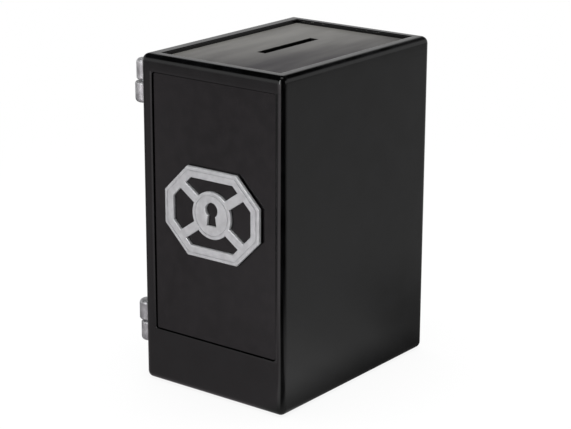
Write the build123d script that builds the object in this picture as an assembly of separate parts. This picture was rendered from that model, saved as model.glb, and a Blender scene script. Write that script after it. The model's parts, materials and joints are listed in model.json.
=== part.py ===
"""Toy safe coin bank: a moulded box with a coin slot, inset panels and a hinged, lockable front door.

Millimetres, +Z up. The origin is the middle of the footprint, on the surface the bank stands on.
The door faces -Y and hangs on two hinges near its +X edge. The badge faces +X.
At rest the door is closed and unlocked: the bolt is drawn in and the lock disc's notch faces its keeper.
"""

from build123d import *
from math import atan2, cos, pi, radians, sin, sqrt, tan
import os

os.makedirs("parts", exist_ok=True)

# Case
case_width = 112.4
case_depth = 80.7
case_height = 155.0
edge_radius = 3.2
side_wall = 4.0
back_wall = 2.6
front_wall = 6.0
cavity_corner = 2.0
boss_radius = 4.0
base_screw_inset = 3.2

# Top recess, its panel and the coin slot
rim_front = 7.6
rim_back = 6.5
rim_right = 6.6
rim_left = 6.5
rim_round = 0.5
top_recess = 1.75
top_panel_thickness = 2.4
top_ledge_width = 4.0
top_ledge_thickness = 2.4
slot_length = 40.4
slot_width = 5.0
slot_x = -4.25
slot_y = -3.3
slot_collar_wall = 1.2
slot_collar_depth = 4.0

# Inset side panels
panel_front_margin = 6.9
panel_rear_margin = 4.2
panel_top_margin = 7.7
plinth_height = 26.2
panel_recess = 0.8
panel_thickness = 1.5
panel_mouth_round = 0.35
panel_corner = 1.0

# Badge
badge_width = 54.0
badge_height = 41.5
badge_cut = 13.0
badge_rise = 0.5
badge_stroke = 5.0
badge_hub_radius = 11.0
badge_spoke = 4.4
badge_backing_thickness = 0.8
badge_backing_border = 0.2
badge_face_thickness = 1.3
badge_edge_round = 0.45
keyhole_radius = 3.4
keyhole_drop = 7.4
keyhole_rise = 2.5
keyhole_neck = 3.2
keyhole_foot = 5.4
engraving_width = 0.4
engraving_depth = 0.25
engraving_inset = 1.5

# Base, feet and the floor of the coin chamber
foot_proud = 0.3
foot_radius = 5.0
foot_seat = 0.6
foot_round = 0.2
foot_inset = 15.0
base_recess = 1.0
base_thickness = 2.4
floor_thickness = 2.4
floor_below_sill = 0.7

# Door opening and door
jamb_width = 7.0
sill_height = 26.2
lintel_height = 14.0
stop_width = 3.0
door_gap = 0.5
door_corner = 1.5
door_flange = 3.0
flange_clearance = 0.4
door_step = 5.0
door_skin = 2.4
door_side_wall = 2.0
door_round = 0.6
door_panel_margin = 12.0
door_panel_recess = 0.8
liner_thickness = 1.6

# Hinges
frame_barrel_radius = 3.3
door_barrel_radius = 4.0
barrel_outer_round = 2.0
barrel_inner_round = 1.0
frame_knuckle_length = 9.8
door_knuckle_length = 9.8
knuckle_gap = 0.8
leaf_reach = 12.0
leaf_thickness = 1.6
leaf_rivet_inset = 3.6
leaf_corner = 0.8
hinge_pin_radius = 1.2
hinge_pin_engagement = 7.5
rivet_head_radius = 1.9
rivet_head_height = 0.9
rivet_head_round = 0.8
rivet_shank_radius = 1.0
rivet_shank_length = 2.2

# Dial lock
dial_above_middle = 17.4
dial_skirt_radius = 15.5
dial_skirt_thickness = 3.0
dial_skirt_bevel = 1.0
dial_grip_radius = 11.0
dial_grip_length = 9.0
dial_grip_round = 1.1
dial_spindle_seat = 8.4
dial_scallops = 16
dial_scallop_radius = 1.1
dial_ring_width = 3.6
dial_ring_thickness = 2.0
dial_ring_bevel = 0.7
dial_ring_clearance = 0.4
dial_index_width = 2.4
lock_disc_radius = 26.0
lock_disc_thickness = 2.0
lock_disc_hub_radius = 5.0
keeper_overlap = 4.0
keeper_width = 8.0
keeper_thickness = 2.5
keeper_foot_width = 20.0
keeper_foot_length = 11.0
keeper_boss_depth = 10.0
keeper_screw_spacing = 13.0
keeper_corner = 1.0
notch_side_clearance = 1.2
notch_end_clearance = 3.0

# Handle and bolt
handle_below_middle = 21.5
handle_hub_radius = 8.0
handle_hub_length = 8.5
handle_hub_round = 1.5
handle_spindle_seat = 6.0
handle_arm_setback = 0.6
handle_arm_round = 1.2
handle_reach = 26.0
handle_root_width = 8.0
handle_tip_width = 7.0
handle_thickness = 5.0
handle_plate_radius = 11.0
handle_plate_thickness = 1.2
handle_plate_round = 0.6
gear_module = 0.75
pinion_teeth = 12
pressure_angle = 25.0
gear_addendum = 0.7
gear_dedendum = 0.9
gear_backlash = 0.14
bolt_thickness = 3.9
bolt_web = 7.0
bolt_nose_chamfer = 1.2
guide_wall = 2.0
handle_turn_degrees = 90.0

# Spindles and screws
spindle_radius = 2.5
spindle_flat = 1.9
boss_wall = 2.0
screw_radius = 1.4
screw_head_radius = 2.7
screw_head_height = 1.2
screw_slot = 0.7
screw_head_round = 0.6
screw_sink = 0.8
base_screw_length = 9.0
liner_screw_length = 6.0
keeper_screw_length = 8.0
spindle_screw_length = 6.0

# Clearances
running_fit = 0.05
screw_fit = 0.02
panel_fit = 0.2
side_panel_fit = 0.35
slide_fit = 0.2
moving_gap = 0.3
keeper_gap = 0.7
disc_gap = 0.5

# Worked-out places of the case
left, right = -case_width / 2, case_width / 2
front, back = -case_depth / 2, case_depth / 2
in_left, in_right = left + side_wall, right - side_wall
in_front, in_back = front + front_wall, back - back_wall
top_panel_top = case_height - top_recess
top_panel_under = top_panel_top - top_panel_thickness
ledge_under = top_panel_under - top_ledge_thickness
base_under = foot_proud + base_recess
base_top = base_under + base_thickness
floor_top = sill_height + stop_width - floor_below_sill
floor_under = floor_top - floor_thickness
opening_left, opening_right = left + jamb_width, right - jamb_width
opening_low, opening_high = sill_height, case_height - lintel_height
pocket_depth = panel_recess + panel_thickness

# Worked-out places of the door, from its face inwards
stop_front = front + door_flange + flange_clearance
bolt_front = in_front + moving_gap
bolt_back = bolt_front + bolt_thickness
liner_front = bolt_back + slide_fit
door_back = liner_front + liner_thickness
skin_back = front + door_skin
panel_floor = front + door_panel_recess
keeper_front = door_back + keeper_gap
keeper_back = keeper_front + keeper_thickness
disc_front = keeper_back + disc_gap
disc_back = disc_front + lock_disc_thickness
door_left, door_right = opening_left + door_gap, opening_right - door_gap
door_low, door_high = opening_low + door_gap, opening_high - door_gap
core_left, core_right = door_left + door_step, door_right - door_step
core_low, core_high = door_low + door_step, door_high - door_step
door_middle = (door_left + door_right) / 2
hinge_x = opening_right
hinge_y = front - door_barrel_radius

# Worked-out places of the lock and the handle
dial_z = (door_low + door_high) / 2 + dial_above_middle
handle_z = (door_low + door_high) / 2 - handle_below_middle
pitch_radius = gear_module * pinion_teeth / 2
bolt_stroke = pitch_radius * radians(handle_turn_degrees)
pitch_line = handle_z - pitch_radius
bolt_top = pitch_line - gear_dedendum
bolt_low = bolt_top - bolt_web
bolt_tip = core_left + slide_fit
rack_start = door_middle - pitch_radius
rack_end = door_middle + bolt_stroke + pitch_radius
keeper_tip = door_middle - lock_disc_radius + keeper_overlap
bore_radius = spindle_radius + running_fit
pilot_radius = screw_radius + screw_fit


# Shapes


def block(low, high):
    """A box from its lowest to its highest corner."""
    size = [b - a for a, b in zip(low, high)]
    middle = [(a + b) / 2 for a, b in zip(low, high)]
    return Pos(*middle) * Box(*size)


def soft_block(low, high, radius, axis):
    """A box whose four edges along one axis are rounded."""
    shape = block(low, high)
    return fillet(shape.edges().filter_by(axis), radius)


def edges_within(shape, low, high):
    """The edges of a shape that lie inside a box of space."""
    slack = 0.01
    box = block([v - slack for v in low], [v + slack for v in high]).bounding_box()

    def inside(edge):
        """Says whether one edge lies in the box."""
        span = edge.bounding_box()
        lows = zip(tuple(box.min), tuple(span.min))
        highs = zip(tuple(span.max), tuple(box.max))
        return all(a <= b for a, b in lows) and all(a <= b for a, b in highs)

    return shape.edges().filter_by(inside)


def rod_y(radius, x, z, start, end):
    """A round bar along Y."""
    return Pos(x, (start + end) / 2, z) * Rot(90, 0, 0) * Cylinder(radius, end - start)


def rod_z(radius, x, y, start, end):
    """A round bar along Z."""
    return Pos(x, y, (start + end) / 2) * Cylinder(radius, end - start)


def plate_y(sketch, x, z, start, end):
    """A flat shape, drawn with X to the right and Z up, made solid along Y."""
    return Pos(x, start, z) * extrude(Plane.XZ * sketch, end - start, dir=(0, 1, 0))


def spindle(x, z, start, journal_start, journal_end, end):
    """A round bar along Y with a flat beyond both ends of its journal."""
    bar = rod_y(spindle_radius, x, z, start, end)
    for low, high in ((start, journal_start), (journal_end, end)):
        bar -= spindle_side(x, z, low, high)
    return bar - rod_y(pilot_radius, x, z, end - spindle_screw_length, end)


def spindle_side(x, z, start, end):
    """The sliver of a spindle that its flat takes away."""
    low = (x - spindle_radius, start, z + spindle_flat)
    high = (x + spindle_radius, end, z + spindle_radius)
    return block(low, high)


def spindle_hole(x, z, start, end):
    """The hole that a flatted spindle end sits in."""
    hole = rod_y(spindle_radius + screw_fit, x, z, start, end)
    low = (x - 2 * spindle_radius, start, z + spindle_flat + screw_fit)
    high = (x + 2 * spindle_radius, end, z + 2 * spindle_radius)
    return hole - block(low, high)


def screw(length):
    """A pan-head screw along -Z, with the underside of its head at the origin and a driver slot."""
    head = Pos(0, 0, screw_head_height / 2) * Cylinder(screw_head_radius, screw_head_height)
    head = fillet(head.edges().group_by(Axis.Z)[-1], screw_head_round)
    slot = Pos(0, 0, screw_head_height) * Box(2 * screw_head_radius, screw_slot, screw_head_height)
    return head - slot + Pos(0, 0, -length / 2) * Cylinder(screw_radius, length)


def four(x_low, x_high, y_low, y_high):
    """The four corners of a rectangle."""
    return [(x, y) for x in (x_low, x_high) for y in (y_low, y_high)]


# Case


def side_opening(side, shrink, start, end):
    """The space of a side panel, from one depth under the case's side face to another."""
    face = right if side > 0 else left
    xs = sorted((face - side * start, face - side * end))
    low = (xs[0], front + panel_front_margin + shrink, plinth_height + shrink)
    high = (xs[1], back - panel_rear_margin - shrink, case_height - panel_top_margin - shrink)
    return soft_block(low, high, panel_corner, Axis.X)


def top_opening(shrink, z_low, z_high):
    """The space of the top recess, drawn in all round by one amount."""
    low = (left + rim_left + shrink, front + rim_front + shrink, z_low)
    high = (right - rim_right - shrink, back - rim_back - shrink, z_high)
    return block(low, high)


def base_screw_places():
    """Where the four base screws stand."""
    inset = base_screw_inset
    return four(in_left + inset, in_right - inset, in_front + inset, in_back - inset)


def make_body_shell():
    """The moulded case: four walls, a rim round the top and the frame of the door."""
    shell = fillet(block((left, front, foot_proud), (right, back, case_height)).edges(), edge_radius)
    cavity = soft_block(
        (in_left, in_front, foot_proud - 1), (in_right, in_back, ledge_under), cavity_corner, Axis.Z
    )
    shell -= cavity
    for x, y in base_screw_places():
        shell += rod_z(boss_radius, x, y, base_top, floor_under) & cavity
        shell -= rod_z(pilot_radius, x, y, base_top - 1, base_top + base_screw_length)
    shell -= top_opening(0, top_panel_under, case_height + 1)
    shell -= top_opening(top_ledge_width, ledge_under - 1, top_panel_under + 1)
    rim_low = (left + rim_left, front + rim_front, case_height)
    rim_high = (right - rim_right, back - rim_back, case_height)
    shell = fillet(edges_within(shell, rim_low, rim_high), rim_round)
    for side in (-1, 1):
        shell -= side_opening(side, 0, -1, pocket_depth)
        face = right if side > 0 else left
        mouth_low = (face, front + panel_front_margin, plinth_height)
        mouth_high = (face, back - panel_rear_margin, case_height - panel_top_margin)
        shell = fillet(edges_within(shell, mouth_low, mouth_high), panel_mouth_round)
    door_seat_low = (opening_left, front - 1, opening_low)
    door_seat_high = (opening_right, stop_front, opening_high)
    shell -= soft_block(door_seat_low, door_seat_high, door_corner, Axis.Y)
    shell -= soft_block(
        (opening_left + stop_width, front, opening_low + stop_width),
        (opening_right - stop_width, in_front + 1, opening_high - stop_width),
        door_corner,
        Axis.Y,
    )
    half_foot = keeper_foot_width / 2
    boss_low = (in_left, keeper_back, dial_z - half_foot)
    boss_high = (in_left + keeper_foot_length, keeper_back + keeper_boss_depth, dial_z + half_foot)
    shell += block(boss_low, boss_high)
    for x, z in keeper_screw_places():
        shell -= rod_y(pilot_radius, x, z, keeper_back - 1, keeper_back + keeper_screw_length)
    for z in frame_rivet_heights():
        shell -= rod_y(rivet_shank_radius + screw_fit, rivet_x(), z, front - 1, front + rivet_shank_length)
    return shell


def make_top_panel():
    """The plate set in the top recess, with the coin slot and a collar under it that guides the coins."""
    panel = top_opening(panel_fit, top_panel_under, top_panel_top)
    wall = 2 * slot_collar_wall
    collar = Box(slot_length + wall, slot_width + wall, slot_collar_depth)
    panel += Pos(slot_x, slot_y, top_panel_under - slot_collar_depth / 2) * collar
    return panel - Pos(slot_x, slot_y, top_panel_top) * Box(slot_length, slot_width, 9 * top_panel_thickness)


def make_side_panel(side):
    """A plain plate glued in one side's pocket."""
    return side_opening(side, side_panel_fit, panel_recess, pocket_depth)


def make_base_plate():
    """The plate that closes the underside, with seats for the feet and the screw heads."""
    low = (in_left + panel_fit, in_front + panel_fit, base_under)
    high = (in_right - panel_fit, in_back - panel_fit, base_top)
    plate = soft_block(low, high, cavity_corner, Axis.Z)
    for x, y in base_screw_places():
        plate -= rod_z(screw_radius + moving_gap, x, y, base_under, base_top)
        plate -= rod_z(screw_head_radius + moving_gap, x, y, base_under, base_under + screw_sink)
    for x, y in foot_places():
        plate -= rod_z(foot_radius + panel_fit, x, y, base_under, base_under + foot_seat)
    return plate


def foot_places():
    """Where the four feet sit."""
    return four(left + foot_inset, right - foot_inset, front + foot_inset, back - foot_inset)


def make_feet():
    """Four round rubber pads in the base plate."""
    pads = [rod_z(foot_radius, x, y, 0, base_under + foot_seat) for x, y in foot_places()]
    return Compound([fillet(pad.edges().group_by(Axis.Z)[0], foot_round) for pad in pads])


def make_base_screws():
    """The four screws that hold the base plate, driven from below."""
    seat = base_under + screw_sink
    upwards = Rot(180, 0, 0) * screw(base_screw_length)
    return Compound([Pos(x, y, seat) * upwards for x, y in base_screw_places()])


def make_chamber_floor():
    """The raised floor of the coin chamber, level with the foot of the door."""
    low = (in_left + panel_fit, in_front + panel_fit, floor_under)
    high = (in_right - panel_fit, in_back - panel_fit, floor_top)
    return soft_block(low, high, cavity_corner, Axis.Z)


# Badge


def badge_outline(grow):
    """The badge's outline, an oblong with four cut corners, grown by one amount."""
    half_width = badge_width / 2 + grow
    half_height = badge_height / 2 + grow
    cut = badge_cut + grow * (2 - sqrt(2))
    points = [(half_width, half_height - cut), (half_width - cut, half_height)]
    points += [(-x, y) for x, y in reversed(points)]
    points += [(-x, -y) for x, y in points]
    return Polygon(*points, align=None)


def badge_plane(height):
    """The badge's drawing plane, one height above the right side panel."""
    panel_middle = (front + panel_front_margin + back - panel_rear_margin) / 2
    panel_level = (plinth_height + case_height - panel_top_margin) / 2 + badge_rise
    return Plane.YZ.offset(right - panel_recess + height).shift_origin(
        (right - panel_recess + height, panel_middle, panel_level)
    )


def badge_solid(sketch, start, thickness):
    """A flat shape of the badge made solid, outwards from one height above the side panel."""
    return extrude(badge_plane(start) * sketch, thickness, dir=(1, 0, 0))


def make_badge_backing():
    """The dark plate that shows in the badge's windows."""
    return badge_solid(badge_outline(badge_backing_border), 0, badge_backing_thickness)


def make_badge_face():
    """The silver part: a frame with a hub on four spokes, a keyhole in the hub and an engraved border."""
    reach_x, reach_y = badge_width / 2 - badge_cut / 2, badge_height / 2 - badge_cut / 2
    spoke = Rectangle(2 * sqrt(reach_x**2 + reach_y**2) - badge_stroke, badge_spoke)
    slope = atan2(reach_y, reach_x) * 180 / pi
    flat = badge_outline(0) - badge_outline(-badge_stroke)
    flat += Circle(badge_hub_radius) + Rot(0, 0, slope) * spoke + Rot(0, 0, -slope) * spoke
    foot = Polygon(
        (-keyhole_neck / 2, 0),
        (keyhole_neck / 2, 0),
        (keyhole_foot / 2, -keyhole_drop),
        (-keyhole_foot / 2, -keyhole_drop),
        align=None,
    )
    flat -= Pos(0, keyhole_rise) * (Circle(keyhole_radius) + foot)
    face = badge_solid(flat, badge_backing_thickness, badge_face_thickness)
    face = fillet(face.edges().group_by(Axis.X)[-1], badge_edge_round)
    outer = badge_outline(-engraving_inset) - badge_outline(-engraving_inset - engraving_width)
    hub_groove = badge_hub_radius - engraving_inset
    ring = Circle(hub_groove) - Circle(hub_groove - engraving_width)
    cut_level = badge_backing_thickness + badge_face_thickness - engraving_depth
    return face - badge_solid(outer + ring, cut_level, badge_face_thickness)


# Hinges


def hinge_ends():
    """The two hinges: the height where each one's knuckles meet, and which way its door knuckle goes."""
    return {"upper": (opening_high, -1), "lower": (opening_low, 1)}


def knuckle(meeting, way, length, barrel_radius, bore):
    """A barrel with a leaf, reaching one way along Z from near the height where two knuckles meet."""
    near = meeting + way * knuckle_gap / 2
    far = near + way * length
    low, high = min(near, far), max(near, far)
    barrel = rod_z(barrel_radius, hinge_x, hinge_y, low, high)
    far_end, near_end = (-1, 0) if way > 0 else (0, -1)
    barrel = fillet(barrel.edges().sort_by(Axis.Z)[far_end], barrel_outer_round)
    barrel = fillet(barrel.edges().sort_by(Axis.Z)[near_end], barrel_inner_round)
    leaf_low = (hinge_x - leaf_reach, front - leaf_thickness, low)
    leaf_high = (hinge_x, front, high)
    leaf = soft_block(leaf_low, leaf_high, leaf_corner, Axis.Y)
    neck_low = (hinge_x - barrel_radius, hinge_y, low + barrel_outer_round)
    neck_high = (hinge_x, front, high - barrel_outer_round)
    body = barrel + leaf + block(neck_low, neck_high)
    bore_low, bore_high = sorted((near, near + way * hinge_pin_engagement))
    body -= rod_z(hinge_pin_radius + bore, hinge_x, hinge_y, bore_low, bore_high)
    middle = (low + high) / 2
    return body - rod_y(rivet_shank_radius + screw_fit, rivet_x(), middle, front - leaf_thickness, front)


def rivet_x():
    """How far along X the leaves' rivets stand."""
    return hinge_x - leaf_reach + leaf_rivet_inset


def knuckle_middle(meeting, way, length):
    """The middle height of a knuckle."""
    return meeting + way * (knuckle_gap + length) / 2


def frame_rivet_heights():
    """The heights of the rivets in the frame's knuckles."""
    return [knuckle_middle(z, -way, frame_knuckle_length) for z, way in hinge_ends().values()]


def door_rivet_heights():
    """The heights of the rivets in the door's knuckles."""
    return [knuckle_middle(z, way, door_knuckle_length) for z, way in hinge_ends().values()]


def make_rivets(heights):
    """Domed rivets through the leaves."""
    rivets = []
    head_end = front - leaf_thickness
    head_start = head_end - rivet_head_height
    for z in heights:
        head = rod_y(rivet_head_radius, rivet_x(), z, head_start, head_end)
        head = fillet(head.edges().group_by(Axis.Y)[0], rivet_head_round)
        shank = rod_y(rivet_shank_radius, rivet_x(), z, head_end, front + rivet_shank_length)
        rivets.append(head + shank)
    return Compound(rivets)


def make_hinge_pin(meeting):
    """The steel pin inside one hinge's two knuckles."""
    reach = hinge_pin_engagement - knuckle_gap / 2
    return rod_z(hinge_pin_radius, hinge_x, hinge_y, meeting - reach, meeting + reach)


# Door


def liner_screw_places():
    """Where the four screws of the door's liner stand."""
    reach = door_side_wall + screw_head_radius
    return four(core_left + reach, core_right - reach, core_low + reach, core_high - reach)


def bolt_space(extra, y_low, y_high):
    """The strip of the door that the bolt slides in, from beyond the door's edge to past the rack."""
    low = (core_left - 1, y_low, bolt_low - extra)
    high = (rack_end + slide_fit, y_high, bolt_top + extra)
    return block(low, high)


def make_door_shell():
    """The moulded front of the door: a flange that meets the frame, and a core that holds the lock."""
    flange_high = (door_right, front + door_flange, door_high)
    door = soft_block((door_left, front, door_low), flange_high, door_corner, Axis.Y)
    door = fillet(door.edges().group_by(Axis.Y)[0], door_round)
    core = soft_block(
        (core_left, front + 1, core_low), (core_right, liner_front, core_high), door_corner, Axis.Y
    )
    door += core
    margin = door_panel_margin
    panel_low = (door_left + margin, front - 1, door_low + margin)
    panel_high = (door_right - margin, panel_floor, door_high - margin)
    door -= soft_block(panel_low, panel_high, door_corner, Axis.Y)
    wall = door_side_wall
    hollow = block(
        (core_left + wall, skin_back, core_low + wall), (core_right - wall, liner_front + 1, core_high - wall)
    )
    door -= hollow
    for x, z in liner_screw_places():
        door += rod_y(screw_head_radius + wall, x, z, skin_back, liner_front) & hollow
        door -= rod_y(pilot_radius, x, z, liner_front - liner_screw_length, liner_front)
    pad_right = rack_end + slide_fit
    door += block((core_left, skin_back - 1, bolt_low), (pad_right, bolt_front - slide_fit, bolt_top))
    rail_end = rack_start - bolt_stroke - moving_gap
    rails = (
        (bolt_low - slide_fit - guide_wall, bolt_low - slide_fit, pad_right),
        (bolt_top + slide_fit, bolt_top + slide_fit + guide_wall, rail_end),
    )
    for low, high, end in rails:
        door += block((core_left, skin_back - 1, low), (end, liner_front - slide_fit, high))
    door -= bolt_space(slide_fit, bolt_front - slide_fit, liner_front)
    boss = bore_radius + boss_wall
    bolt_way = bolt_space(slide_fit, skin_back, liner_front)
    door += rod_y(boss, door_middle, dial_z, skin_back - 1, liner_front)
    door += rod_y(boss, door_middle, handle_z, skin_back - 1, bolt_front - slide_fit) - bolt_way
    for z in (dial_z, handle_z):
        door -= rod_y(bore_radius, door_middle, z, front - 1, liner_front + 1)
    for z in door_rivet_heights():
        door -= rod_y(rivet_shank_radius + screw_fit, rivet_x(), z, front - 1, front + rivet_shank_length)
    return door


def make_door_liner():
    """The plate that closes the back of the door."""
    liner = soft_block(
        (core_left, liner_front, core_low), (core_right, door_back, core_high), door_corner, Axis.Y
    )
    liner -= rod_y(bore_radius + moving_gap, door_middle, dial_z, liner_front, door_back)
    liner -= rod_y(screw_head_radius + 2 * moving_gap, door_middle, handle_z, liner_front, door_back)
    for x, z in liner_screw_places():
        liner -= rod_y(screw_radius + moving_gap, x, z, liner_front, door_back)
        liner -= rod_y(screw_head_radius + moving_gap, x, z, door_back - screw_sink, door_back)
    return liner


def make_liner_screws():
    """The four screws that hold the liner, sunk in it."""
    seat = door_back - screw_sink
    return Compound(
        [Pos(x, seat, z) * Rot(-90, 0, 0) * screw(liner_screw_length) for x, z in liner_screw_places()]
    )


# Dial lock


def make_dial_knob():
    """The dial: a flat skirt for the numbers and a scalloped grip."""
    skirt_start = panel_floor - moving_gap
    grip_start = skirt_start - dial_skirt_thickness
    tip = grip_start - dial_grip_length
    skirt = rod_y(dial_skirt_radius, door_middle, dial_z, grip_start, skirt_start)
    skirt = chamfer(skirt.edges().group_by(Axis.Y)[0], dial_skirt_bevel)
    grip = rod_y(dial_grip_radius, door_middle, dial_z, tip, grip_start)
    grip = fillet(grip.edges().group_by(Axis.Y)[0], dial_grip_round)
    for k in range(dial_scallops):
        turn = 2 * pi * k / dial_scallops
        x = door_middle + dial_grip_radius * cos(turn)
        grip -= rod_y(dial_scallop_radius, x, dial_z + dial_grip_radius * sin(turn), tip - 1, grip_start)
    return skirt + grip - spindle_hole(door_middle, dial_z, dial_spindle_start(), skirt_start)


def dial_spindle_start():
    """How far into the dial its spindle reaches."""
    return panel_floor - moving_gap - dial_spindle_seat


def make_dial_spindle():
    """The shaft from the dial through the door to the lock disc."""
    return spindle(door_middle, dial_z, dial_spindle_start(), panel_floor - moving_gap, door_back, disc_back)


def make_dial_ring():
    """The fixed ring round the dial, with a pointer notch at the top."""
    inner = dial_skirt_radius + dial_ring_clearance
    outer = inner + dial_ring_width
    start = panel_floor - dial_ring_thickness
    ring = rod_y(outer, door_middle, dial_z, start, panel_floor)
    ring = chamfer(ring.edges().group_by(Axis.Y)[0], dial_ring_bevel)
    ring -= rod_y(inner, door_middle, dial_z, start - 1, panel_floor + 1)
    notch = Pos(door_middle, start, dial_z + outer) * Rot(0, 45, 0) * Box(
        dial_index_width, dial_ring_thickness, dial_index_width
    )
    return ring - notch


def make_lock_disc():
    """The disc that stands behind its keeper except where its notch faces it."""
    disc = rod_y(lock_disc_radius, door_middle, dial_z, disc_front, disc_back)
    disc += rod_y(lock_disc_hub_radius, door_middle, dial_z, door_back + moving_gap, disc_back)
    half = keeper_width / 2 + notch_side_clearance
    low = (door_middle - 2 * lock_disc_radius, disc_front - 1, dial_z - half)
    high = (keeper_tip + notch_end_clearance, disc_back + 1, dial_z + half)
    disc -= block(low, high)
    return disc - spindle_hole(door_middle, dial_z, door_back, disc_back)


def make_spindle_screw(z, seat):
    """The screw in the end of a spindle."""
    return Pos(door_middle, seat, z) * Rot(-90, 0, 0) * screw(spindle_screw_length - slide_fit)


def keeper_screw_places():
    """Where the two screws of the keeper stand."""
    x = in_left + keeper_foot_length / 2
    return [(x, dial_z + side * keeper_screw_spacing / 2) for side in (-1, 1)]


def make_lock_keeper():
    """The steel arm on the case that the lock disc stands behind."""
    half_foot = (keeper_foot_width - slide_fit) / 2
    foot_low = (in_left + slide_fit, keeper_front, dial_z - half_foot)
    foot_high = (in_left + keeper_foot_length, keeper_back, dial_z + half_foot)
    arm_low = (in_left + keeper_foot_length / 2, keeper_front, dial_z - keeper_width / 2)
    arm_high = (keeper_tip, keeper_back, dial_z + keeper_width / 2)
    keeper = soft_block(foot_low, foot_high, keeper_corner, Axis.Y)
    keeper += soft_block(arm_low, arm_high, keeper_corner, Axis.Y)
    for x, z in keeper_screw_places():
        keeper -= rod_y(screw_radius + slide_fit, x, z, keeper_front, keeper_back)
        keeper -= rod_y(screw_head_radius + moving_gap, x, z, keeper_front, keeper_front + screw_head_height)
    return keeper


def make_keeper_screws():
    """The two screws of the keeper, with their heads sunk in it."""
    seat = keeper_front + screw_head_height
    return Compound(
        [Pos(x, seat, z) * Rot(90, 0, 0) * screw(keeper_screw_length) for x, z in keeper_screw_places()]
    )


# Handle and bolt


def gear_outer_radius():
    """The radius over the pinion's teeth."""
    return pitch_radius + gear_addendum


def make_drive_pinion():
    """The small gear on the handle's spindle, with involute teeth and a gap straight below."""
    slant = radians(pressure_angle)
    base = pitch_radius * cos(slant)
    root = pitch_radius - gear_dedendum
    outer = gear_outer_radius()
    half_tooth = (pi * gear_module / 2 - gear_backlash / 2) / 2 / pitch_radius
    offset = half_tooth + tan(slant) - slant

    def flank(radius):
        """The angle from a tooth's middle to its flank at one radius."""
        roll = sqrt(max(radius**2 / base**2 - 1, 0))
        return offset - (roll - atan2(roll, 1))

    steps = 4
    radii = [root] + [base + (outer - base) * k / steps for k in range(steps + 1)]
    outline = []
    for tooth in range(pinion_teeth):
        middle = -pi / 2 + 2 * pi * (tooth + 0.5) / pinion_teeth
        side = [(r, flank(max(r, base))) for r in radii]
        points = [(r, middle - a) for r, a in side] + [(r, middle + a) for r, a in reversed(side)]
        outline += [(r * cos(a), r * sin(a)) for r, a in points]
    gear = plate_y(Polygon(*outline, align=None), door_middle, handle_z, bolt_front, bolt_back)
    return gear - spindle_hole(door_middle, handle_z, bolt_front, bolt_back)


def make_latch_bolt():
    """The sliding bolt, with a rack along its top under the pinion."""
    bolt = block((bolt_tip, bolt_front, bolt_low), (rack_end, bolt_back, bolt_top))
    nose = bolt.edges().filter_by(Axis.Z).sort_by(Axis.X)[:2]
    bolt = chamfer(nose, bolt_nose_chamfer)
    pitch = pi * gear_module
    slope = tan(radians(pressure_angle))
    at_pitch = (pitch / 2 - gear_backlash / 2) / 2
    foot, tip = at_pitch + gear_dedendum * slope, at_pitch - gear_addendum * slope
    height = gear_dedendum + gear_addendum
    root = -gear_dedendum / 2
    right_side = [(foot, root), (foot, 0), (tip, height)]
    tooth = Polygon(*right_side, *[(-x, y) for x, y in reversed(right_side)], align=None)
    first = -int((door_middle - rack_start - foot) / pitch)
    last = int((rack_end - door_middle - foot) / pitch)
    for k in range(first, last + 1):
        bolt += plate_y(tooth, door_middle + k * pitch, bolt_top, bolt_front, bolt_back)
    return bolt


def handle_spindle_start():
    """How far into the handle's hub its spindle reaches."""
    return handle_hub_start() - handle_spindle_seat


def handle_hub_start():
    """The back of the handle's hub."""
    return panel_floor - handle_plate_thickness - moving_gap


def make_handle_plate():
    """The round plate behind the handle."""
    plate_front = panel_floor - handle_plate_thickness
    plate = rod_y(handle_plate_radius, door_middle, handle_z, plate_front, panel_floor)
    plate = fillet(plate.edges().group_by(Axis.Y)[0], handle_plate_round)
    return plate - rod_y(spindle_radius + moving_gap, door_middle, handle_z, plate_front, panel_floor)


def make_handle_lever():
    """The lever, hanging straight down when the bolt is drawn in."""
    hub_end = handle_hub_start() - handle_hub_length
    hub = rod_y(handle_hub_radius, door_middle, handle_z, hub_end, handle_hub_start())
    hub = fillet(hub.edges().group_by(Axis.Y)[0], handle_hub_round)
    root = Circle(handle_root_width / 2)
    tip = Pos(0, -handle_reach) * Circle(handle_tip_width / 2)
    arm = make_hull(root.edges() + tip.edges())
    arm_front = hub_end + handle_arm_setback
    bar = plate_y(arm, door_middle, handle_z, arm_front, arm_front + handle_thickness)
    bar = fillet(bar.edges().group_by(Axis.Y)[0], handle_arm_round)
    lever = hub + bar
    return lever - spindle_hole(door_middle, handle_z, handle_spindle_start(), handle_hub_start())


def make_handle_spindle():
    """The shaft from the handle through the door to the pinion."""
    return spindle(door_middle, handle_z, handle_spindle_start(), handle_hub_start(), bolt_front, bolt_back)


pieces = {
    "body_shell": make_body_shell(),
    "base_plate": make_base_plate(),
    "base_screws": make_base_screws(),
    "feet": make_feet(),
    "chamber_floor": make_chamber_floor(),
    "top_panel": make_top_panel(),
    "side_panel_right": make_side_panel(1),
    "side_panel_left": make_side_panel(-1),
    "badge_backing": make_badge_backing(),
    "badge_face": make_badge_face(),
    "hinge_rivets_frame": make_rivets(frame_rivet_heights()),
    "lock_keeper": make_lock_keeper(),
    "keeper_screws": make_keeper_screws(),
    "door_shell": make_door_shell(),
    "door_liner": make_door_liner(),
    "liner_screws": make_liner_screws(),
    "hinge_rivets_door": make_rivets(door_rivet_heights()),
    "dial_ring": make_dial_ring(),
    "handle_plate": make_handle_plate(),
    "dial_knob": make_dial_knob(),
    "dial_spindle": make_dial_spindle(),
    "lock_disc": make_lock_disc(),
    "dial_screw": make_spindle_screw(dial_z, disc_back),
    "handle_lever": make_handle_lever(),
    "handle_spindle": make_handle_spindle(),
    "drive_pinion": make_drive_pinion(),
    "pinion_screw": make_spindle_screw(handle_z, bolt_back),
    "latch_bolt": make_latch_bolt(),
}
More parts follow.
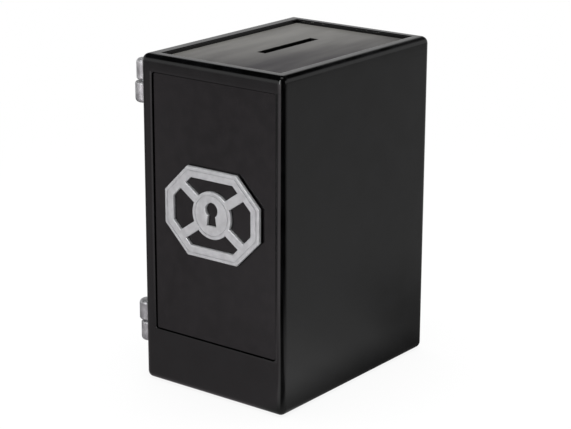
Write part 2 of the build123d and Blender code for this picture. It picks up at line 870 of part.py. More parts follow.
for name, (meeting, way) in hinge_ends().items():
    pieces[f"{name}_hinge_frame_knuckle"] = knuckle(
        meeting, -way, frame_knuckle_length, frame_barrel_radius, screw_fit
    )
    pieces[f"{name}_hinge_door_knuckle"] = knuckle(
        meeting, way, door_knuckle_length, door_barrel_radius, running_fit
    )
    pieces[f"{name}_hinge_pin"] = make_hinge_pin(meeting)

for name, shape in pieces.items():
    export_step(shape, f"parts/{name}.step")
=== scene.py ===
"""Looks of the toy safe coin bank: finishes, printed dial, glue and moulding marks, floor, light and camera.

Metres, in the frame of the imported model: the door faces -Y, the badge faces +X, the bank stands on z = 0.
"""

import json
import math

import bmesh
import bpy
from mathutils import Matrix, Vector


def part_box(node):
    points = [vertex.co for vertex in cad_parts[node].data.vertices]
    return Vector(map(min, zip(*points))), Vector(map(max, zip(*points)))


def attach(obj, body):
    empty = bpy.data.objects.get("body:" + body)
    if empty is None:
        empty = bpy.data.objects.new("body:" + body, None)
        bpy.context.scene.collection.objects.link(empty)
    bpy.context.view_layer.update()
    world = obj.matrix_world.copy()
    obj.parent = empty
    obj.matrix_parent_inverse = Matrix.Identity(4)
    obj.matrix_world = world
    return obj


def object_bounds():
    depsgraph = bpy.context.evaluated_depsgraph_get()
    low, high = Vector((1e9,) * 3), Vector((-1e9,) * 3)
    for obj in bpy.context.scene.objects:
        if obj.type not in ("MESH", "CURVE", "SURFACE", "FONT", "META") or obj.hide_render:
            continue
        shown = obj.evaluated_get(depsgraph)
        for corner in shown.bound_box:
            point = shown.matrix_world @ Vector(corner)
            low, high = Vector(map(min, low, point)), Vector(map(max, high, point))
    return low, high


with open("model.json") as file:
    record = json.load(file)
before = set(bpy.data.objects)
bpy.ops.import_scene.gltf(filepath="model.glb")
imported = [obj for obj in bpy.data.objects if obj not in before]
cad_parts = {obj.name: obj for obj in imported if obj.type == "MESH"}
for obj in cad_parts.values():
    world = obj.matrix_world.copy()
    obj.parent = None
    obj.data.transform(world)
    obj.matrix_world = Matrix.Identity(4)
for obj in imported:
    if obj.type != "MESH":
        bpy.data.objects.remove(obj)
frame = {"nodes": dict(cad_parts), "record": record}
CAD_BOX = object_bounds()
NODES = frame["nodes"]
MM = 0.001
SMOOTH = {"interpolation_type": "SMOOTHSTEP"}
WHITE = (1, 1, 1, 1)


# Materials


def linear(code):
    """An sRGB hex colour as linear red, green, blue and alpha."""
    values = [int(code[i : i + 2], 16) / 255 for i in (1, 3, 5)]
    return [v / 12.92 if v <= 0.04045 else ((v + 0.055) / 1.055) ** 2.4 for v in values] + [1.0]


def add(tree, kind, settings=None, *values, **inputs):
    """Adds a node with its settings, and sets or links its inputs: in order, or by name or number.

    A bare kind is a shader node's. Settings that are one word are its operation. A node given as a value
    stands for its first output.
    """
    node = tree.nodes.new(kind if "Node" in kind else "ShaderNode" + kind)
    settings = {"operation": settings} if isinstance(settings, str) else settings or {}
    for name, value in settings.items():
        setattr(node, name, value)
    wanted = list(enumerate(values))
    for name, value in inputs.items():
        wanted.append((int(name[1:]) if name[1:].isdigit() else name.replace("_", " "), value))
    for key, value in wanted:
        if isinstance(value, bpy.types.Node):
            value = value.outputs[0]
        if isinstance(value, bpy.types.NodeSocket):
            tree.links.new(value, node.inputs[key])
        else:
            node.inputs[key].default_value = value
    return node


def spot(tree):
    """The x, y and z of a point in the piece's own coordinates."""
    return add(tree, "SeparateXYZ", Vector=add(tree, "TexCoord").outputs["Object"]).outputs


def noise(tree, size_mm, detail=2.0, drawn_out=(1, 1, 1)):
    """Noise on the piece's own coordinates with features of about one size, longer along some axes."""
    place = add(tree, "TexCoord").outputs["Object"]
    scale = [1 / (size_mm * MM * length) for length in drawn_out]
    scaled = add(tree, "VectorMath", "MULTIPLY", place, scale)
    return add(tree, "TexNoise", Vector=scaled, Scale=1.0, Detail=detail)


def relief(tree, layers):
    """Bump from layers of height, each with its depth in millimetres."""
    under = {}
    for height, depth in layers:
        under["Normal"] = add(tree, "Bump", Height=height, Strength=1.0, Distance=depth * MM, **under)
    return under["Normal"]


def soft_patches(tree, size_mm):
    """Soft patches of about one size."""
    return add(tree, "MapRange", SMOOTH, noise(tree, size_mm, 4.0), 0.32, 0.68)


def worn_edges(tree):
    """Edges rubbed bright here and there."""
    rounded = add(tree, "Bevel", {"samples": 4}, Radius=EDGE_REACH * MM)
    flat = add(tree, "NewGeometry").outputs["Normal"]
    likeness = add(tree, "VectorMath", "DOT_PRODUCT", rounded, flat).outputs["Value"]
    on_edge = add(tree, "MapRange", SMOOTH, likeness, 0.99, 0.8)
    rubbed = add(tree, "MapRange", SMOOTH, noise(tree, EDGE_PATCHES, 3.0), 0.3, 0.6, 0.35, 1.0)
    return add(tree, "Math", "MULTIPLY", on_edge, rubbed)


def below_face(tree):
    """1 on what lies below the top panel's upper face, such as the slot's walls."""
    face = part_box("top_panel")[1].z
    return add(tree, "MapRange", SMOOTH, spot(tree)["Z"], *[face - depth * MM for depth in BELOW_FACE])


def finish(name, tones, patches, roughness, grains, forms=(), places=None, **sockets):
    """A solid finish: two near tones in patches, a roughness that goes with them, and layers of relief.

    patches is their size in millimetres, or a function that draws them. Each of the grains has a size and a
    depth in millimetres, and forms are functions that give a height and its depth. places is a function for
    where another tone and roughness take over, with that tone and roughness.
    """
    material = bpy.data.materials.new(name)
    material.use_nodes = True
    tree = material.node_tree
    tree.nodes.clear()
    patches = patches(tree) if callable(patches) else soft_patches(tree, patches)
    tones = [linear(tone) for tone in tones]
    tone = add(tree, "Mix", {"data_type": "RGBA"}, patches, _6=tones[0], _7=tones[1]).outputs[2]
    rough = add(tree, "MapRange", SMOOTH, patches, 0, 1, *roughness)
    if places:
        there, other_tone, other_rough = places
        there = there(tree)
        tone = add(tree, "Mix", {"data_type": "RGBA"}, there, _6=tone, _7=linear(other_tone)).outputs[2]
        rough = add(tree, "Mix", {"data_type": "FLOAT"}, there, _2=rough, _3=other_rough)
    layers = [(noise(tree, size), depth) for size, depth in grains] + [form(tree) for form in forms]
    sockets = {"Base_Color": tone, "Roughness": rough, "Normal": relief(tree, layers), **sockets}
    add(tree, "OutputMaterial", Surface=add(tree, "BsdfPrincipled", **sockets))
    return material


def past_edge(tree, value, low, high):
    """How far a coordinate lies outside two limits."""
    under = add(tree, "Math", "SUBTRACT", low, value)
    over = add(tree, "Math", "SUBTRACT", value, high)
    return add(tree, "Math", "MAXIMUM", add(tree, "Math", "MAXIMUM", under, over), 0.0)


def past_corner(tree, across, along):
    """How far a point lies outside a rectangle, from its excess along each side."""
    return add(tree, "VectorMath", "LENGTH", add(tree, "CombineXYZ", None, across, along)).outputs["Value"]


def rolled_lips(tree):
    """The case's faces roll in over the last millimetre round the top recess and both side panels.

    The narrow strips in front of and behind a side panel roll in more than the rest.
    """
    x, y, z = spot(tree)
    on_top = add(tree, "Math", "GREATER_THAN", z, CAD_BOX[1].z - TOP_SKIN)
    on_side = add(tree, "Math", "SUBTRACT", 1.0, on_top)
    low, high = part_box("top_panel")
    past_x = past_edge(tree, x, low.x - TOP_FIT, high.x + TOP_FIT)
    past_y = past_edge(tree, y, low.y - TOP_FIT, high.y + TOP_FIT)
    top = past_corner(tree, past_x, past_y)
    low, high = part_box("side_panel_right")
    past_y = past_edge(tree, y, low.y - SIDE_FIT, high.y + SIDE_FIT)
    past_z = past_edge(tree, z, low.z - SIDE_FIT, high.z + SIDE_FIT)
    side = past_corner(tree, past_y, past_z)
    beside = add(tree, "Math", "MULTIPLY", on_side, add(tree, "Math", "LESS_THAN", past_z, STRIP_END))
    in_front = add(tree, "Math", "MAXIMUM", add(tree, "Math", "SUBTRACT", low.y - SIDE_FIT, y), 0.0)
    behind = add(tree, "Math", "MAXIMUM", add(tree, "Math", "SUBTRACT", y, high.y + SIDE_FIT), 0.0)
    total = 0.0
    for distance, here, (reach, share) in (
        (top, on_top, LIP),
        (side, on_side, LIP),
        (in_front, beside, FRONT_LIP),
        (behind, beside, BACK_LIP),
    ):
        height = add(tree, "MapRange", SMOOTH, distance, 0, reach * MM, 0, share)
        total = add(tree, "Math", "ADD", total, add(tree, "Math", "MULTIPLY", height, here))
    return total, LIP_DEPTH


def slack_brow(tree):
    """Under the top edge the case's sides lean in a little more and more."""
    heights = [CAD_BOX[1].z - depth * MM for depth in BROW_SPAN]
    rise = add(tree, "MapRange", None, spot(tree)["Z"], *heights)
    return add(tree, "Math", "SUBTRACT", 1.0, add(tree, "Math", "POWER", rise, 2.0)), BROW_DEPTH


def dust_and_painted_sheen(tree):
    """Grey dust and painted sheen on the top panel: streaks along the slot, and the painted sheen fading out
    towards the badge's back corner.
    """
    place = add(tree, "TexCoord").outputs["Object"]
    # Painted sheen: the tone is lighter away from the badge's back corner and darker towards it.
    towards = add(tree, "VectorMath", "DOT_PRODUCT", place, SHEEN_FADES_TOWARDS).outputs["Value"]
    kept = add(tree, "MapRange", SMOOTH, towards, *[distance * MM for distance in SHEEN_FADE_SPAN])
    streaks = add(tree, "MapRange", SMOOTH, noise(tree, STREAK_WIDTH, 3.0, STREAK_SHAPE), 0.3, 0.7)
    return add(tree, "Mix", {"data_type": "FLOAT"}, STREAK_SHARE, _2=kept, _3=streaks)


# The gaps round the top panel and the side panels, and how thick a skin counts as the case's upper face.
TOP_FIT, SIDE_FIT = 0.2 * MM, 0.35 * MM
TOP_SKIN = 0.3 * MM
# How deep a lip is in millimetres, and each lip's reach and its share of that depth. A strip's own lip
# ends this far past the panel's ends.
LIP_DEPTH = 0.11
LIP, FRONT_LIP, BACK_LIP = (1.2, 1.0), (1.8, 2.5), (1.5, 5.0)
STRIP_END = 0.2 * MM
# Where the lean under the top edge starts and ends, in millimetres below the top, and its depth.
BROW_SPAN, BROW_DEPTH = (8.0, 3.0), 0.08
# How far in from an edge a painted casting is rubbed, and the size of the rubbed stretches.
EDGE_REACH, EDGE_PATCHES = 0.35, 2.5
# How far under the top panel's face its dust and painted sheen start to fade, and are gone.
BELOW_FACE = (0.05, 0.3)
# The dust and painted sheen on the top panel go from none to all along one direction, between two distances
# from the middle, so the painted sheen fades out towards the badge's back corner. Its streaks have a width,
# a shape and a share of it.
SHEEN_FADES_TOWARDS, SHEEN_FADE_SPAN = (0.45, 1, 0), (42, -34)
STREAK_WIDTH, STREAK_SHAPE, STREAK_SHARE = 9, (4.5, 1, 1), 0.2

# The finest grain of each finish is drawn a few tenths of a millimetre wide, coarser than the real one,
# so that it shows.

# ABS, moulded in a polished tool: near black all through, a satin gloss with faint orange peel, and a
# film of handling and dust in soft patches.
SATIN = {"roughness": (0.13, 0.2), "grains": [(0.9, 0.0018), (6, 0.004)], "IOR": 1.45}
case_abs = finish("moulded_black_abs", ("#020202", "#070708"), 14, forms=[rolled_lips, slack_brow], **SATIN)
# The panels, the door and the dial are of the same plastic, a touch browner, and rubbed in more patches.
panel_abs = finish("pressed_black_abs", ("#020102", "#0e0b0d"), 7, **SATIN)
# The top panel is the same plastic scuffed by coins and hands: much duller, with streaks of grey dust. Its
# tone is also painted sheen: lighter in streaks along the slot, darker towards the badge's back corner.
top_abs = finish(
    "black_abs_dust_and_painted_sheen",
    ("#29272a", "#666562"),
    dust_and_painted_sheen,
    roughness=(0.56, 0.42),
    grains=[(0.6, 0.004), (5, 0.01)],
    places=(below_face, "#030303", 0.3),
    IOR=1.45,
)
# The same plastic inside: an eroded tool face leaves it matt.
matt_abs = finish("eroded_black_abs", ("#0e0e0f", "#151516"), 12, (0.5, 0.6), [(0.5, 0.01)], IOR=1.45)
# Silver paint on cast zinc: fine metal flake that sparkles, soft gloss.
badge_paint = finish(
    "flake_silver_paint", ("#c3c4c6", "#cfd0d2"), 3, (0.36, 0.46), [(0.45, 0.012), (2.5, 0.01)], Metallic=0.4
)
# Silver paint on tumbled castings: a rougher, slightly lumpy skin, rubbed bright along its edges.
cast_silver = finish(
    "painted_cast_zinc",
    ("#9c9c9e", "#bfbfc1"),
    4,
    roughness=(0.36, 0.48),
    grains=[(0.8, 0.02), (3, 0.05)],
    places=(worn_edges, "#cfcfd0", 0.3),
    Metallic=0.7,
)
# Zinc-plated steel: cool and bright, with a fine grain.
plated_steel = finish("plated_steel", ("#a3a6aa", "#bec0c3"), 3, (0.24, 0.36), [(0.3, 0.004)], Metallic=1.0)
# Natural nylon: milky, soft gloss.
nylon = finish("natural_nylon", ("#d4d1c5", "#e2dfd5"), 6, (0.35, 0.45), [(0.4, 0.005)], IOR=1.53)
# Soft rubber: dull, and grey with dust.
rubber = finish("foot_rubber", ("#141414", "#242322"), 3, (0.75, 0.9), [(0.3, 0.02)], IOR=1.5)
# Silver ink, pad printed: thin, even and nearly matt.
silver_ink = finish(
    "pad_printed_silver", ("#b9babb", "#c6c7c8"), 2, (0.45, 0.55), [(0.4, 0.002)], Metallic=0.4
)
# Hot glue: clear, with a wet gloss that catches the light.
glue = finish(
    "clear_glue", ("#33322f", "#4d4c48"), 2, (0.1, 0.2), [(1.0, 0.01)], IOR=1.48, Transmission_Weight=0.3
)
# Black ink, pad printed: thin and nearly matt.
black_ink = finish("pad_printed_black", ("#0c0c0d", "#161617"), 2, (0.5, 0.6), [(0.4, 0.002)], IOR=1.45)

FINISHES = {
    "black_shell": case_abs,
    "black_inner": matt_abs,
    "silver_badge": badge_paint,
    "silver_hardware": cast_silver,
    "steel": plated_steel,
    "nylon": nylon,
    "foot_rubber": rubber,
}
OWN_FINISH = {
    "top_panel": top_abs,
    "side_panel_right": panel_abs,
    "side_panel_left": panel_abs,
    "badge_backing": panel_abs,
    "door_shell": panel_abs,
    "dial_knob": panel_abs,
}
for part in frame["record"]["subparts"]:
    node = NODES[part["node"]]
    node.data.materials.clear()
    node.data.materials.append(OWN_FINISH.get(part["node"], FINISHES[part["material_slot"]]))


# Printed numbers, glue and moulding marks


def as_piece(name, mesh, body):
    """A mesh as a piece of its own that rides a body."""
    piece = bpy.data.objects.new(name, mesh)
    bpy.context.collection.objects.link(piece)
    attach(piece, body)
    return piece


def plain_mesh(source):
    """The finished mesh of a text or of an object with a live tree, with the source thrown away."""
    bpy.context.collection.objects.link(source)
    graph = bpy.context.evaluated_depsgraph_get()
    mesh = bpy.data.meshes.new_from_object(source.evaluated_get(graph))
    for modifier in list(source.modifiers):
        source.modifiers.remove(modifier)
    bpy.data.objects.remove(source)
    return mesh


def repeated(name, body, material, sizes, shape):
    """A piece made by a Geometry Nodes tree whose sizes are named inputs."""
    tree = bpy.data.node_groups.new(name, "GeometryNodeTree")
    sockets = {}
    for label, value in sizes.items():
        kind = "NodeSocketInt" if isinstance(value, int) else "NodeSocketFloat"
        sockets[label] = tree.interface.new_socket(name=label, in_out="INPUT", socket_type=kind)
    tree.interface.new_socket(name="Geometry", in_out="OUTPUT", socket_type="NodeSocketGeometry")
    inputs = add(tree, "NodeGroupInput").outputs
    real = add(tree, "GeometryNodeRealizeInstances", Geometry=shape(tree, inputs))
    painted = add(tree, "GeometryNodeSetMaterial", Geometry=real, Material=material)
    add(tree, "NodeGroupOutput", Geometry=painted)
    holder = bpy.data.objects.new(name, bpy.data.meshes.new(name))
    modifier = holder.modifiers.new(name, "NODES")
    modifier.node_group = tree
    for label, socket in sockets.items():
        modifier[socket.identifier] = sizes[label]
    return as_piece(name, plain_mesh(holder), body)


# Ink stands this far off what it is printed on.
INK = 0.04 * MM
UPRIGHT = Matrix.Rotation(math.pi / 2, 4, "X")
# The numbers and marks lie on the face of the dial's skirt.
DIAL_LOW, DIAL_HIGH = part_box("dial_knob")
DIAL_SKIRT = 3 * MM
DIAL_FACE = (DIAL_LOW + DIAL_HIGH) / 2
DIAL_FACE.y = DIAL_HIGH.y - DIAL_SKIRT
NUMBERS, NUMBER_HEIGHT, NUMBER_RADIUS = 10, 2.3 * MM, 12.25 * MM
MARKS, MARK_SIZE, MARK_RADIUS = 50, (0.3 * MM, 2 * INK, 0.9 * MM), 13.95 * MM


def print_numbers():
    """0 to 90 round the dial's skirt, each with its head outwards."""
    joined = bmesh.new()
    for k in range(NUMBERS):
        text = bpy.data.curves.new("number", "FONT")
        text.body = str(10 * k)
        text.size = NUMBER_HEIGHT
        text.align_x = text.align_y = "CENTER"
        text.extrude = INK
        mesh = plain_mesh(bpy.data.objects.new("number", text))
        turn = Matrix.Rotation(2 * math.pi * k / NUMBERS, 4, "Y")
        out = Matrix.Translation((0, 0, NUMBER_RADIUS))
        mesh.transform(Matrix.Translation(DIAL_FACE) @ turn @ out @ UPRIGHT)
        joined.from_mesh(mesh)
    mesh = bpy.data.meshes.new("dial_numbers")
    joined.to_mesh(mesh)
    joined.free()
    mesh.materials.clear()
    mesh.materials.append(silver_ink)
    as_piece("dial_numbers", mesh, "dial")


def tick_marks(tree, sizes):
    """A thin bar at the rim for each step of the dial."""
    bar = add(tree, "GeometryNodeMeshCube", Size=MARK_SIZE)
    out = add(tree, "CombineXYZ", Z=sizes["Radius"])
    bar = add(tree, "GeometryNodeTransform", Geometry=bar, Translation=out)
    spots = add(tree, "GeometryNodePoints", Count=sizes["Marks"])
    step = add(tree, "Math", "DIVIDE", 2 * math.pi, sizes["Marks"])
    turn = add(tree, "Math", "MULTIPLY", add(tree, "GeometryNodeInputIndex"), step)
    turn = add(tree, "CombineXYZ", Y=turn)
    bars = add(tree, "GeometryNodeInstanceOnPoints", Points=spots, Instance=bar, Rotation=turn)
    return add(tree, "GeometryNodeTransform", Geometry=bars, Translation=DIAL_FACE)


print_numbers()
MARK_SIZES = {"Marks": MARKS, "Radius": MARK_RADIUS}
repeated("dial_marks", "dial", silver_ink, MARK_SIZES, tick_marks)

# Where the runs of glue start and end along the recess's wall in millimetres, how far their line lies
# outside the top panel and above it, and the share of beads that is left out.
GLUE_RUNS = [(-30, -22), (-18.5, -16), (3, 20)]
GLUE_OUT, GLUE_UP = 0.12 * MM, 1.15 * MM
GLUE_GAPS = 0.45
BEADS, BEAD_RADIUS, BEAD_SEED = 12, 0.22 * MM, 4
SMALLEST_BEAD, LARGEST_BEAD = (0.4, 0.6, 0.4), (1.0, 2.0, 1.6)


def glue_beads(tree, sizes):
    """Small beads squeezed out along the foot of the recess's wall, in three short runs."""
    low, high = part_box("top_panel")
    runs = add(tree, "GeometryNodeJoinGeometry")
    for start, end in GLUE_RUNS:
        step = add(tree, "Math", "DIVIDE", (end - start) * MM, sizes["Beads"])
        line = add(
            tree,
            "GeometryNodeMeshLine",
            Count=sizes["Beads"],
            Start_Location=(low.x - GLUE_OUT, start * MM, high.z + GLUE_UP),
            Offset=add(tree, "CombineXYZ", Y=step),
        )
        tree.links.new(line.outputs[0], runs.inputs[0])
    bead = add(tree, "GeometryNodeMeshIcoSphere", Radius=sizes["Radius"], Subdivisions=2)
    seed = sizes["Seed"]
    scatter = add(tree, "FunctionNodeRandomValue", {"data_type": "FLOAT"}, _2=0.0, _3=1.0, Seed=seed)
    stay = add(tree, "Math", "GREATER_THAN", scatter.outputs[1], GLUE_GAPS)
    kind = {"data_type": "FLOAT_VECTOR"}
    swell = add(tree, "FunctionNodeRandomValue", kind, SMALLEST_BEAD, LARGEST_BEAD, Seed=seed)
    return add(tree, "GeometryNodeInstanceOnPoints", Points=runs, Selection=stay, Instance=bead, Scale=swell)


BEAD_SIZES = {"Beads": BEADS, "Radius": BEAD_RADIUS, "Seed": BEAD_SEED}
repeated("recess_glue", "case", glue, BEAD_SIZES, glue_beads)

# The arrowhead's reach from its middle, and how far that lies below the top of the dial's ring.
INDEX_RADIUS, INDEX_DROP = 1.25 * MM, 2.2 * MM


def print_index():
    """A black arrowhead on the dial's ring, under its notch, that points at the numbers."""
    low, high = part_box("dial_ring")
    shape = bmesh.new()
    bmesh.ops.create_circle(shape, cap_ends=True, radius=INDEX_RADIUS, segments=3)
    grown = bmesh.ops.extrude_face_region(shape, geom=shape.faces[:])["geom"]
    raised = [v for v in grown if isinstance(v, bmesh.types.BMVert)]
    bmesh.ops.translate(shape, vec=(0, 0, 2 * INK), verts=raised)
    bmesh.ops.recalc_face_normals(shape, faces=shape.faces[:])
    mesh = bpy.data.meshes.new("dial_index")
    shape.to_mesh(mesh)
    shape.free()
    middle = (DIAL_FACE.x, low.y + INK, high.z - INDEX_DROP)
    mesh.transform(Matrix.Translation(middle) @ UPRIGHT @ Matrix.Rotation(math.pi, 4, "Z"))
    mesh.materials.append(black_ink)
    as_piece("dial_index", mesh, "door")


print_index()


def pin_marks(tree, sizes):
    """Round marks that the mould's ejector pins leave on a wall, in rows and columns on the XY plane."""
    grid = add(
        tree,
        "GeometryNodeMeshGrid",
        Size_X=sizes["Width"],
        Size_Y=sizes["Height"],
        Vertices_X=sizes["Columns"],
        Vertices_Y=sizes["Rows"],
    )
    outer = add(tree, "GeometryNodeMeshCylinder", Vertices=24, Radius=sizes["Radius"], Depth=sizes["Rise"])
    return add(tree, "GeometryNodeInstanceOnPoints", Points=grid, Instance=outer)


def place_marks(name, body, columns, rows, width, height, place, turn):
    """Pin marks on one wall, from the grid's count and size in millimetres."""
    sizes = {"Columns": columns, "Rows": rows, "Width": width * MM, "Height": height * MM, **PIN}
    piece = repeated(name, body, panel_abs, sizes, pin_marks)
    piece.data.transform(Matrix.Translation(place) @ turn)


PIN = {"Radius": 2.2 * MM, "Rise": 0.16 * MM}
# The heights of the marks' middles on the door's liner and on the chamber's back wall, and the gap
# between that wall and the chamber's floor.
LINER_MARKS, CHAMBER_MARKS, FLOOR_GAP = 84 * MM, 88 * MM, 0.2 * MM
LINER_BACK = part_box("door_liner")[1].y
CHAMBER_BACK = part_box("chamber_floor")[1].y + FLOOR_GAP
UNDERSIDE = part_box("base_plate")[0].z
place_marks("liner_pin_marks", "door", 2, 4, 68, 76, (0, LINER_BACK, LINER_MARKS), UPRIGHT)
place_marks("chamber_pin_marks", "case", 3, 3, 72, 80, (0, CHAMBER_BACK, CHAMBER_MARKS), UPRIGHT)
place_marks("base_pin_marks", "case", 3, 2, 56, 36, (0, 0, UNDERSIDE), Matrix.Identity(4))


# Stage


def ray_kinds(tree):
    """1 for the camera's own rays, and 1 for rays that meet the stage in gloss or glass."""
    path = add(tree, "LightPath")
    gloss, glass = path.outputs["Is Glossy Ray"], path.outputs["Is Transmission Ray"]
    return path.outputs["Is Camera Ray"], add(tree, "Math", "MAXIMUM", gloss, glass)


def turn_round(tree, x, y):
    """A direction round the bank as 0 to 1, from -X through -Y, +X and +Y back to -X."""
    angle = add(tree, "Math", "ARCTAN2", y, x)
    return add(tree, "MapRange", None, angle, -math.pi, math.pi)


def levels_round(tree, turn, levels):
    """A level for each direction round the bank, from pairs of degrees and level, eased between them."""
    ramp = add(tree, "ValToRGB", Fac=turn)
    ramp.color_ramp.interpolation = "EASE"
    elements = ramp.color_ramp.elements
    elements.remove(elements[1])
    for k, (degrees, level) in enumerate(levels):
        position = (degrees + 180) / 360
        element = elements[0] if k == 0 else elements.new(position)
        element.position = position
        element.color = (level, level, level, 1)
    return ramp


# How bright the floor looks in the bank's gloss, by the direction in degrees from +X towards +Y. Near the
# bank it is brightest off the corner between the badge's side and the back.
NEAR_LEVELS = [
    (-180, 0.45), (-110, 0.35), (-62, 0.25), (-46, 0.44), (-38, 0.46), (20, 0.52), (29, 0.52), (45, 0.78),
    (60, 0.8), (75, 0.68), (92, 0.56), (125, 0.42), (142, 0.22), (165, 0.2), (180, 0.45),
]
# Further out it ends in the dark on the camera's side, with a bright stretch beside that gap.
FAR_LEVELS = [
    (-180, 0.65), (-142, 0.6), (-110, 0.25), (-62, 0.2), (-50, 0.46), (-40, 0.54), (-36, 0.46), (-31, 0.55),
    (-22, 0.64), (-12, 0.86), (-4, 1.35), (15, 1.25), (28, 0.0), (84, 0.0), (105, 0.36), (122, 0.45),
    (134, 0.42), (143, 0.37), (165, 0.48), (180, 0.65),
]
# Far off, where only the bank's rounded top edges look, a bright board stands beyond the badge's side.
BOARD_LEVELS = [
    (-180, 0.9), (-100, 0.9), (-60, 0.3), (-40, 0.3), (-30, 0.5), (-20, 1.0), (-5, 2.0), (15, 2.0),
    (28, 0.1), (84, 0.1), (142, 0.27), (180, 0.9),
]
# The distances from the bank's middle over which one set of levels gives way to the next.
FAR_RADII, BOARD_RADII = (0.09, 0.25), (0.76, 1.0)
# The room beyond the badge's side gives the gloss a faint rose cast.
CAST_LEVELS = [(-180, 0.0), (-80, 0.0), (-60, 1.0), (20, 1.0), (28, 0.0), (180, 0.0)]
CAST = (1.05, 0.98, 1.02, 1)
# How much of the soft shade at the bank's foot each direction gets, how far the shade reaches, and how
# much light it leaves at the foot.
SHADE_LEVELS = [
    (-180, 0.6), (-70, 0.6), (-40, 0.0), (20, 0.0), (35, 0.4), (47, 0.9), (60, 1.0), (125, 1.0), (142, 0.6),
    (180, 0.6),
]
SHADE_REACH, SHADE_LOW = 0.032, 0.24
# Off the corner that faces the camera a bright wedge and a dark one lie side by side, and the radii over
# which they come in.
WEDGE_LEVELS = [(-180, 1.0), (14, 1.0), (22, 2.2), (30, 2.2), (36, 0.1), (56, 0.1), (66, 1.0), (180, 1.0)]
WEDGE_RADII = (0.072, 0.09)
# Near the bank the camera sees this share of plain white in the floor, and beyond the span only that.
PLAIN_SPAN, PLAIN_NEAR = (0.1, 0.5), 0.9
FLOOR_HALF = 3.0


def floor_material():
    """Pale paper: nearly white with a faint shadow for the camera, and shaded round the bank in gloss."""
    material = bpy.data.materials.new("white_floor")
    material.use_nodes = True
    tree = material.node_tree
    tree.nodes.clear()
    x, y, _ = spot(tree)
    radius = past_corner(tree, x, y)
    turn = turn_round(tree, x, y)
    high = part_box("body_shell")[1]
    distance = past_corner(tree, past_edge(tree, x, -high.x, high.x), past_edge(tree, y, -high.y, high.y))
    level = levels_round(tree, turn, NEAR_LEVELS)
    for levels, radii in ((FAR_LEVELS, FAR_RADII), (BOARD_LEVELS, BOARD_RADII)):
        out = add(tree, "MapRange", SMOOTH, radius, *radii)
        level = add(tree, "Mix", {"data_type": "FLOAT"}, out, _2=level, _3=levels_round(tree, turn, levels))
    kept = add(tree, "MapRange", SMOOTH, distance, 0, SHADE_REACH, SHADE_LOW, 1)
    wedge = levels_round(tree, turn, WEDGE_LEVELS)
    off_corner = add(tree, "MapRange", SMOOTH, radius, *WEDGE_RADII)
    for share, factor in ((levels_round(tree, turn, SHADE_LEVELS), kept), (off_corner, wedge)):
        factor = add(tree, "Mix", {"data_type": "FLOAT"}, share, _2=1.0, _3=factor)
        level = add(tree, "Math", "MULTIPLY", level, factor)
    share = levels_round(tree, turn, CAST_LEVELS)
    cast = add(tree, "Mix", {"data_type": "RGBA"}, share, _6=WHITE, _7=CAST).outputs[2]
    image = add(tree, "Emission", Color=cast, Strength=level)
    camera_ray, mirrored = ray_kinds(tree)
    paper = add(tree, "BsdfDiffuse", Color=linear("#f2f2f2"))
    white = add(tree, "Emission", Color=WHITE, Strength=1.0)
    plain = add(tree, "MapRange", SMOOTH, distance, *PLAIN_SPAN, PLAIN_NEAR, 1.0)
    seen = add(tree, "MixShader", None, add(tree, "Math", "MULTIPLY", camera_ray, plain), paper, white)
    add(tree, "OutputMaterial", Surface=add(tree, "MixShader", None, mirrored, seen, image))
    return material


def make_floor():
    """A wide flat floor that isn't part of the object."""
    mesh = bpy.data.meshes.new("floor")
    corners = [(FLOOR_HALF * x, FLOOR_HALF * y, 0) for x, y in ((-1, -1), (1, -1), (1, 1), (-1, 1))]
    mesh.from_pydata(corners, [], [(0, 1, 2, 3)])
    mesh.materials.append(floor_material())
    plane = bpy.data.objects.new("floor", mesh)
    bpy.context.collection.objects.link(plane)


make_floor()

# The pale sweep round the bank by direction, dark on the camera's side, and the degrees above the horizon
# at which it ends.
SKY_LEVELS = [
    (-180, 0.6), (-100, 0.6), (-60, 0.8), (-42, 0.85), (-32, 1.0), (-20, 1.0), (20, 1.0), (30, 0.0),
    (88, 0.0), (102, 1.2), (122, 0.6), (180, 0.6),
]
SWEEP_TOP = (35, 22)
# A narrow bright lamp beyond the badge's side.
LAMP_LEVELS = [(-180, 0.0), (-9, 0.0), (-4, 1.0), (9, 1.0), (14, 0.0), (180, 0.0)]
LAMP_TOP, LAMP_STRENGTH = (56, 48), 5.0
# A soft box overhead.
BOX_EDGE, BOX_STRENGTH = (70, 80), 1.2
# The even light that falls on everything.
SOFT_STRENGTH = 0.5


def between(tree, height, start, end):
    """0 to 1 between two angles above the horizon in degrees."""
    return add(tree, "MapRange", SMOOTH, height, math.sin(math.radians(start)), math.sin(math.radians(end)))


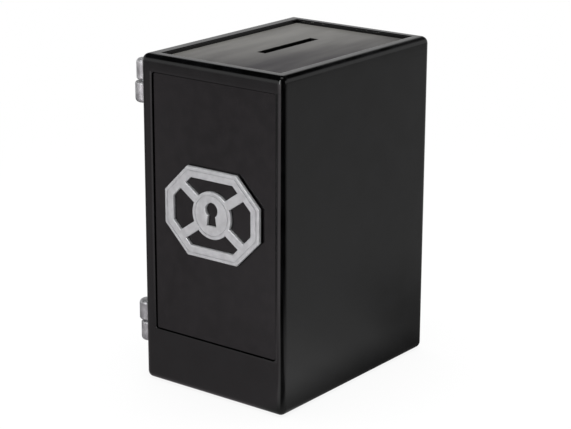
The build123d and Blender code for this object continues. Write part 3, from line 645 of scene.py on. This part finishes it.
def make_world():
    """White for the camera, and a soft even light. In gloss, a low sweep all round, a lamp and a box."""
    world = bpy.data.worlds.new("studio")
    bpy.context.scene.world = world
    world.use_nodes = True
    tree = world.node_tree
    tree.nodes.clear()
    x, y, height = add(tree, "SeparateXYZ", Vector=add(tree, "TexCoord").outputs["Generated"]).outputs
    turn = turn_round(tree, x, y)
    low = between(tree, height, *SWEEP_TOP)
    sweep = add(tree, "Math", "MULTIPLY", levels_round(tree, turn, SKY_LEVELS), low)
    box = add(tree, "Math", "MULTIPLY", between(tree, height, *BOX_EDGE), BOX_STRENGTH)
    low = between(tree, height, *LAMP_TOP)
    lamp = add(tree, "Math", "MULTIPLY", levels_round(tree, turn, LAMP_LEVELS), low)
    lamp = add(tree, "Math", "MULTIPLY", lamp, LAMP_STRENGTH)
    studio = add(tree, "Math", "ADD", add(tree, "Math", "MAXIMUM", sweep, box), lamp)
    camera_ray, mirrored = ray_kinds(tree)
    soft = add(tree, "Background", Color=WHITE, Strength=SOFT_STRENGTH)
    image = add(tree, "Background", Color=WHITE, Strength=studio)
    white = add(tree, "Background", Color=WHITE, Strength=1.0)
    light = add(tree, "MixShader", None, mirrored, soft, image)
    add(tree, "OutputWorld", Surface=add(tree, "MixShader", None, camera_ray, light, white))


make_world()


def overhead_light():
    """A square soft light straight above the bank, which its gloss doesn't show."""
    light = bpy.data.lights.new("overhead", "AREA")
    light.size = 0.7
    light.energy = 12
    lamp = bpy.data.objects.new("overhead", light)
    lamp.location = (0, 0, 1.1)
    lamp.visible_glossy = False
    bpy.context.collection.objects.link(lamp)


overhead_light()


# Camera


def make_camera():
    """Aims a long lens at the bank from its badge side and back."""
    azimuth, elevation, distance = 127.38, 16.74, 0.8678
    pan, tilt, roll = 0.069, 0.242, 0.206
    middle = Vector((0, 0, 0.0777))

    def backward(around, up):
        """The direction from the bank to a camera at one azimuth and elevation in degrees."""
        a, e = math.radians(around), math.radians(up)
        return Vector((math.sin(a) * math.cos(e), -math.cos(a) * math.cos(e), math.sin(e)))

    back = backward(azimuth + pan, elevation + tilt)
    a = math.radians(azimuth + pan)
    right = Vector((math.cos(a), math.sin(a), 0))
    up = back.cross(right)
    turn = math.radians(roll)
    right, up = (
        math.cos(turn) * right + math.sin(turn) * up,
        math.cos(turn) * up - math.sin(turn) * right,
    )
    data = bpy.data.cameras.new("camera")
    data.lens = 117.0
    data.sensor_width = 36
    data.clip_start = 0.01
    camera = bpy.data.objects.new("camera", data)
    place = middle + backward(azimuth, elevation) * distance
    camera.matrix_world = Matrix.Translation(place) @ Matrix((right, up, back)).transposed().to_4x4()
    bpy.context.collection.objects.link(camera)
    bpy.context.scene.camera = camera


make_camera()
bpy.context.scene.view_settings.view_transform = "Standard"
